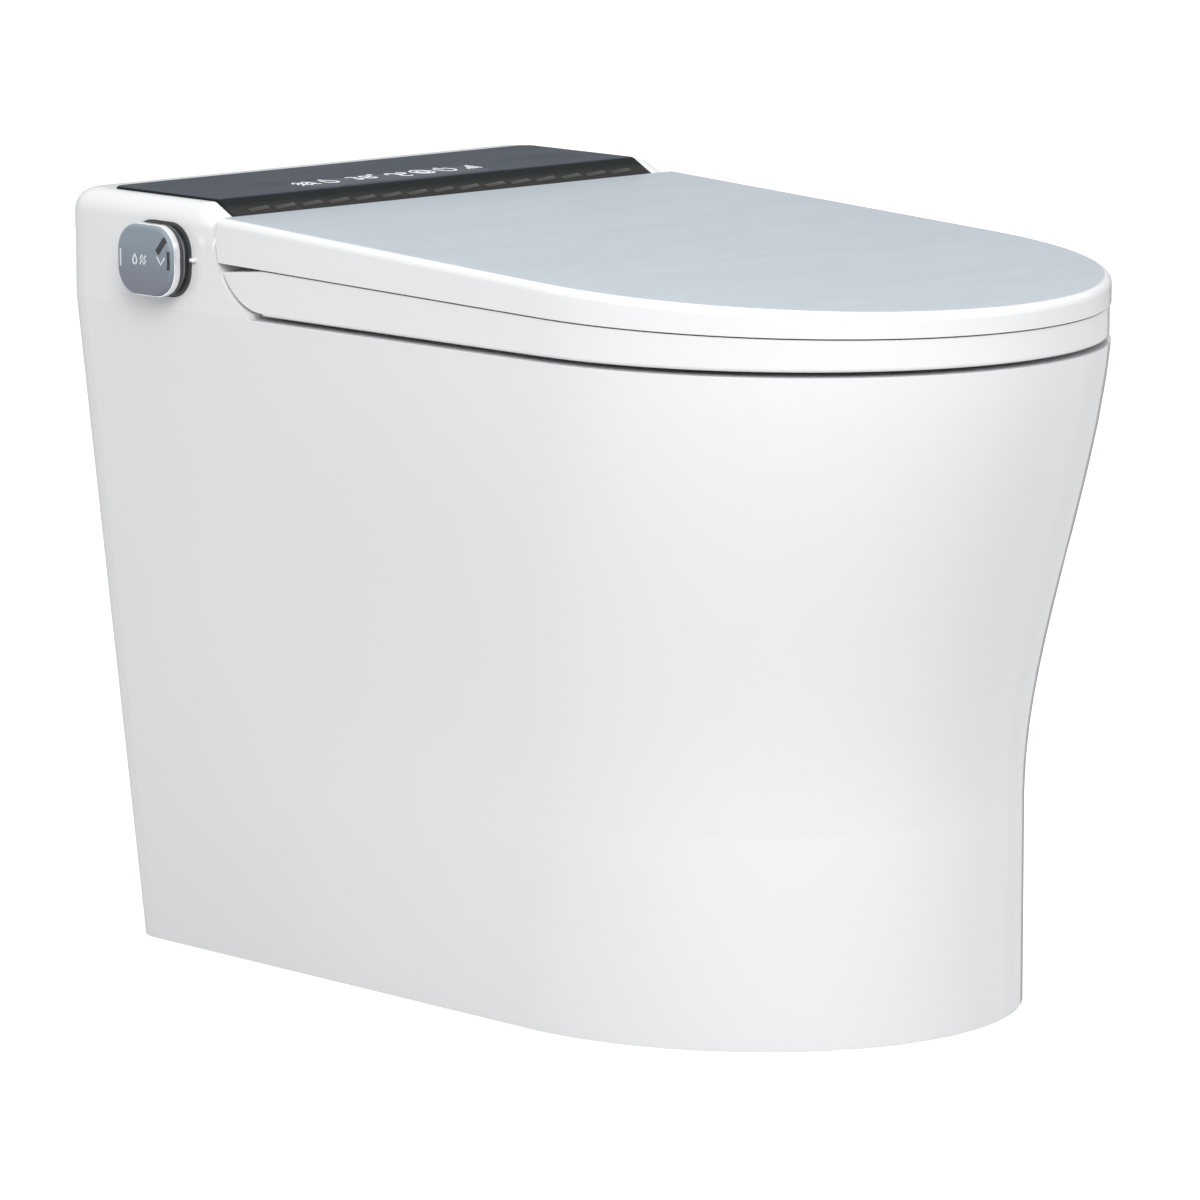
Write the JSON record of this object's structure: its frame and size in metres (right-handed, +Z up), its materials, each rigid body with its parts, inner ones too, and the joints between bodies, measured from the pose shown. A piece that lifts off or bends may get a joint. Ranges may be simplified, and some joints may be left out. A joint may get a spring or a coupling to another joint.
{
  "type": "smart toilet",
  "caption": "One-piece smart toilet with a heated seat, a sloping lid, a dark top cover, a side control knob, spray wands and a warm-air dryer flap.",
  "frame": {"origin": "centre of the waste outlet on the floor", "axes": "+Z up, -Y towards the front tip, +X to the seated user's left"},
  "size_m": [0.406, 0.659, 0.481],
  "materials": {
    "ceramic": "glossy white glaze",
    "seal": "matte rubber",
    "bumper": "pale grey rubber",
    "white_plastic": "glossy white moulded plastic",
    "lid_plastic": "glossy white moulded plastic, slightly cool",
    "dark_cover": "glossy slate grey",
    "window": "dark display window",
    "knob_face": "satin grey blue",
    "knob_ring": "dark plastic",
    "nylon": "natural nylon",
    "wand_plastic": "glossy white",
    "steel": "brushed steel",
    "heating_foil": "foil",
    "grey_plastic": "grey moulded plastic",
    "heater_metal": "cast",
    "board": "green lacquer",
    "carbon": "black",
    "tank": "translucent white",
    "brass": "nickel free brass"
  },
  "bodies": {
    "pan": {"ceramic_body": "ceramic", "waste_seal": "seal", "base_plate": "nylon", "base_bolts": "steel", "housing_shell": "white_plastic", "top_cover": "dark_cover", "display_window": "window", "hinge_post_left": "nylon", "hinge_post_right": "nylon", "hinge_shaft_left": "steel", "hinge_shaft_right": "steel", "lid_damper": "steel", "seat_damper": "steel", "knob_bezel": "knob_ring", "knob_encoder": "grey_plastic", "wand_cradle": "nylon", "rear_wand_motor": "grey_plastic", "front_wand_motor": "grey_plastic", "dryer_duct": "wand_plastic", "dryer_flap_pin": "steel", "blower_housing": "grey_plastic", "blower_shaft": "steel", "instant_heater": "heater_metal", "valve_block": "grey_plastic", "air_pump": "grey_plastic", "power_supply": "grey_plastic", "control_board": "board", "deodoriser_housing": "grey_plastic", "carbon_cartridge": "carbon", "deodoriser_shaft": "steel", "water_tank": "tank", "flush_pump": "grey_plastic", "water_inlet": "brass", "inlet_valve": "grey_plastic", "cable_gland": "grey_plastic"},
    "seat": {"seat_shell": "white_plastic", "seat_pan": "white_plastic", "seat_heating_pad": "heating_foil", "seat_bumpers": "bumper"},
    "lid": {"lid_shell": "lid_plastic", "lid_liner": "lid_plastic", "lid_bumpers": "bumper"},
    "knob_turning": {"knob_spindle": "nylon"},
    "knob_pushing": {"knob_cap": "knob_face"},
    "rear_wand": {"rear_wand_tube": "steel", "rear_wand_tip": "wand_plastic"},
    "front_wand": {"front_wand_tube": "steel", "front_wand_tip": "wand_plastic"},
    "flap": {"dryer_flap": "wand_plastic"},
    "impeller": {"blower_impeller": "nylon"},
    "fan": {"deodoriser_fan": "nylon"}
  },
  "joints": [
    {"name": "lid_hinge", "type": "hinge", "parent": "pan", "child": "lid", "pos_m": [0, 0.075, 0.458], "axis": [-1, 0, 0], "range_deg": [0, 105]},
    {"name": "seat_hinge", "type": "hinge", "parent": "pan", "child": "seat", "pos_m": [0, 0.075, 0.458], "axis": [-1, 0, 0], "range_deg": [0, 99.75]},
    {"name": "knob_turn", "type": "hinge", "parent": "pan", "child": "knob_turning", "pos_m": [-0.195, 0.168, 0.443], "axis": [1, 0, 0], "range_deg": [-30, 30], "stiffness_Nm_per_rad": 0.12},
    {"name": "knob_push", "type": "slide", "parent": "knob_turning", "child": "knob_pushing", "axis": [1, 0, 0], "range_m": [0, 0.0025], "stiffness_N_per_m": 600},
    {"name": "rear_wand_slide", "type": "slide", "parent": "pan", "child": "rear_wand", "axis": [0, -0.9397, -0.342], "range_m": [0, 0.095]},
    {"name": "front_wand_slide", "type": "slide", "parent": "pan", "child": "front_wand", "axis": [0, -0.9397, -0.342], "range_m": [0, 0.095]},
    {"name": "dryer_flap_hinge", "type": "hinge", "parent": "pan", "child": "flap", "pos_m": [0.072, 0.024, 0.396], "axis": [-1, 0, 0], "range_deg": [0, 55]},
    {"name": "blower_spin", "type": "hinge", "parent": "pan", "child": "impeller", "pos_m": [0.084, 0.182, 0.43], "axis": [0, 0, 1], "continuous": true},
    {"name": "deodoriser_spin", "type": "hinge", "parent": "pan", "child": "fan", "pos_m": [0.132, 0.24, 0.425], "axis": [0, 0, 1], "continuous": true}
  ],
  "couplings": [
    {"joint": "seat_hinge", "follows": "lid_hinge", "ratio": 0.95}
  ]
}
